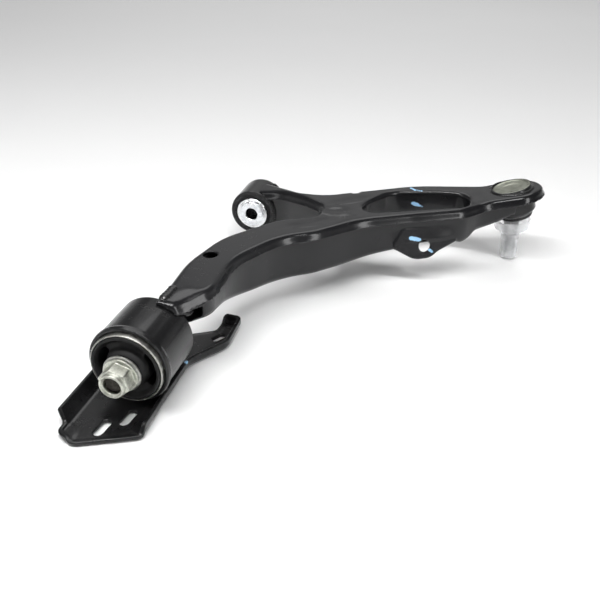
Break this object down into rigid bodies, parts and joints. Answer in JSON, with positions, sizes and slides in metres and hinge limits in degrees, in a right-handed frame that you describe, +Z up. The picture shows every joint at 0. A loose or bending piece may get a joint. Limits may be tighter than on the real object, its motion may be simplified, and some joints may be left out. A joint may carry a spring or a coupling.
{
  "type": "suspension control arm",
  "caption": "Pressed-steel lower control arm with a front bush eye, a rear bush on a slotted bracket, a ball joint with its transit cap, and a side tab.",
  "frame": {"origin": "centre of the front bush", "axes": "+Y along the pivot axis from the rear bush to the front bush, +X outboard to the ball joint, +Z up"},
  "size_m": [0.3975, 0.4861, 0.0989],
  "materials": {
    "coat": "semi-gloss black electrocoat over steel sheet and tube",
    "bracket_coat": "semi-gloss black electrocoat over thick steel sheet",
    "rubber": "matt black moulded rubber",
    "steel": "plain turned steel",
    "zinc": "bright zinc plate",
    "nut_plating": "dull zinc-nickel plate",
    "bolt_plating": "dull zinc-nickel plate",
    "cover_plating": "satin olive-grey plate",
    "seat_plastic": "pale low-friction moulded plastic",
    "stud_steel": "dark machined steel",
    "spring_steel": "dark spring wire",
    "cap_plastic": "frosted translucent moulded plastic"
  },
  "bodies": {
    "arm": {"upper_shell": "coat", "lower_shell": "coat", "front_eye_tube": "coat", "front_outer_sleeve": "steel", "front_rubber": "rubber", "rear_housing": "coat", "rear_outer_sleeve": "steel", "rear_rubber": "rubber", "front_weld": "coat", "rear_weld": "coat", "housing_weld": "coat", "ball_housing": "coat", "ball_cover": "cover_plating", "bearing_seat": "seat_plastic", "boot_upper_ring": "spring_steel"},
    "front_inner": {"front_inner_sleeve": "zinc", "front_washers": "zinc"},
    "rear_mount": {"rear_inner_sleeve": "steel", "rear_washer": "steel", "rear_nut": "nut_plating", "rear_bolt": "bolt_plating", "rear_bracket": "bracket_coat", "bracket_ear": "bracket_coat", "ear_weld": "bracket_coat"},
    "boot": {"dust_boot": "rubber"},
    "boot_ring": {"boot_lower_ring": "spring_steel"},
    "stud": {"ball_stud": "stud_steel"},
    "cap": {"transit_cap": "cap_plastic"}
  },
  "joints": [
    {"name": "front_bush", "type": "hinge", "parent": "arm", "child": "front_inner", "pos_m": [0, 0, 0], "axis": [0, 1, 0], "range_deg": [-18, 18], "stiffness_Nm_per_rad": 60},
    {"name": "rear_bush", "type": "hinge", "parent": "arm", "child": "rear_mount", "pos_m": [0, -0.34, 0], "axis": [0, 1, 0], "range_deg": [-13, 13], "stiffness_Nm_per_rad": 60},
    {"name": "ball_rock", "type": "hinge", "parent": "arm", "child": "boot", "pos_m": [0.314, 0.027, 0.0305], "axis": [1, 0, 0], "range_deg": [-13, 13], "deforming": ["dust_boot"]},
    {"name": "ball_tilt", "type": "hinge", "parent": "boot", "child": "boot_ring", "pos_m": [0.314, 0.027, 0.0305], "axis": [0, 1, 0], "range_deg": [-32, 6], "deforming": ["dust_boot"]},
    {"name": "stud_swivel", "type": "hinge", "parent": "boot_ring", "child": "stud", "pos_m": [0.314, 0.027, 0.0305], "axis": [-0.0523, 0, 0.9986], "continuous": true},
    {"name": "cap_pull", "type": "slide", "parent": "stud", "child": "cap", "axis": [0.0523, 0, -0.9986], "range_m": [0, 0.07]}
  ]
}
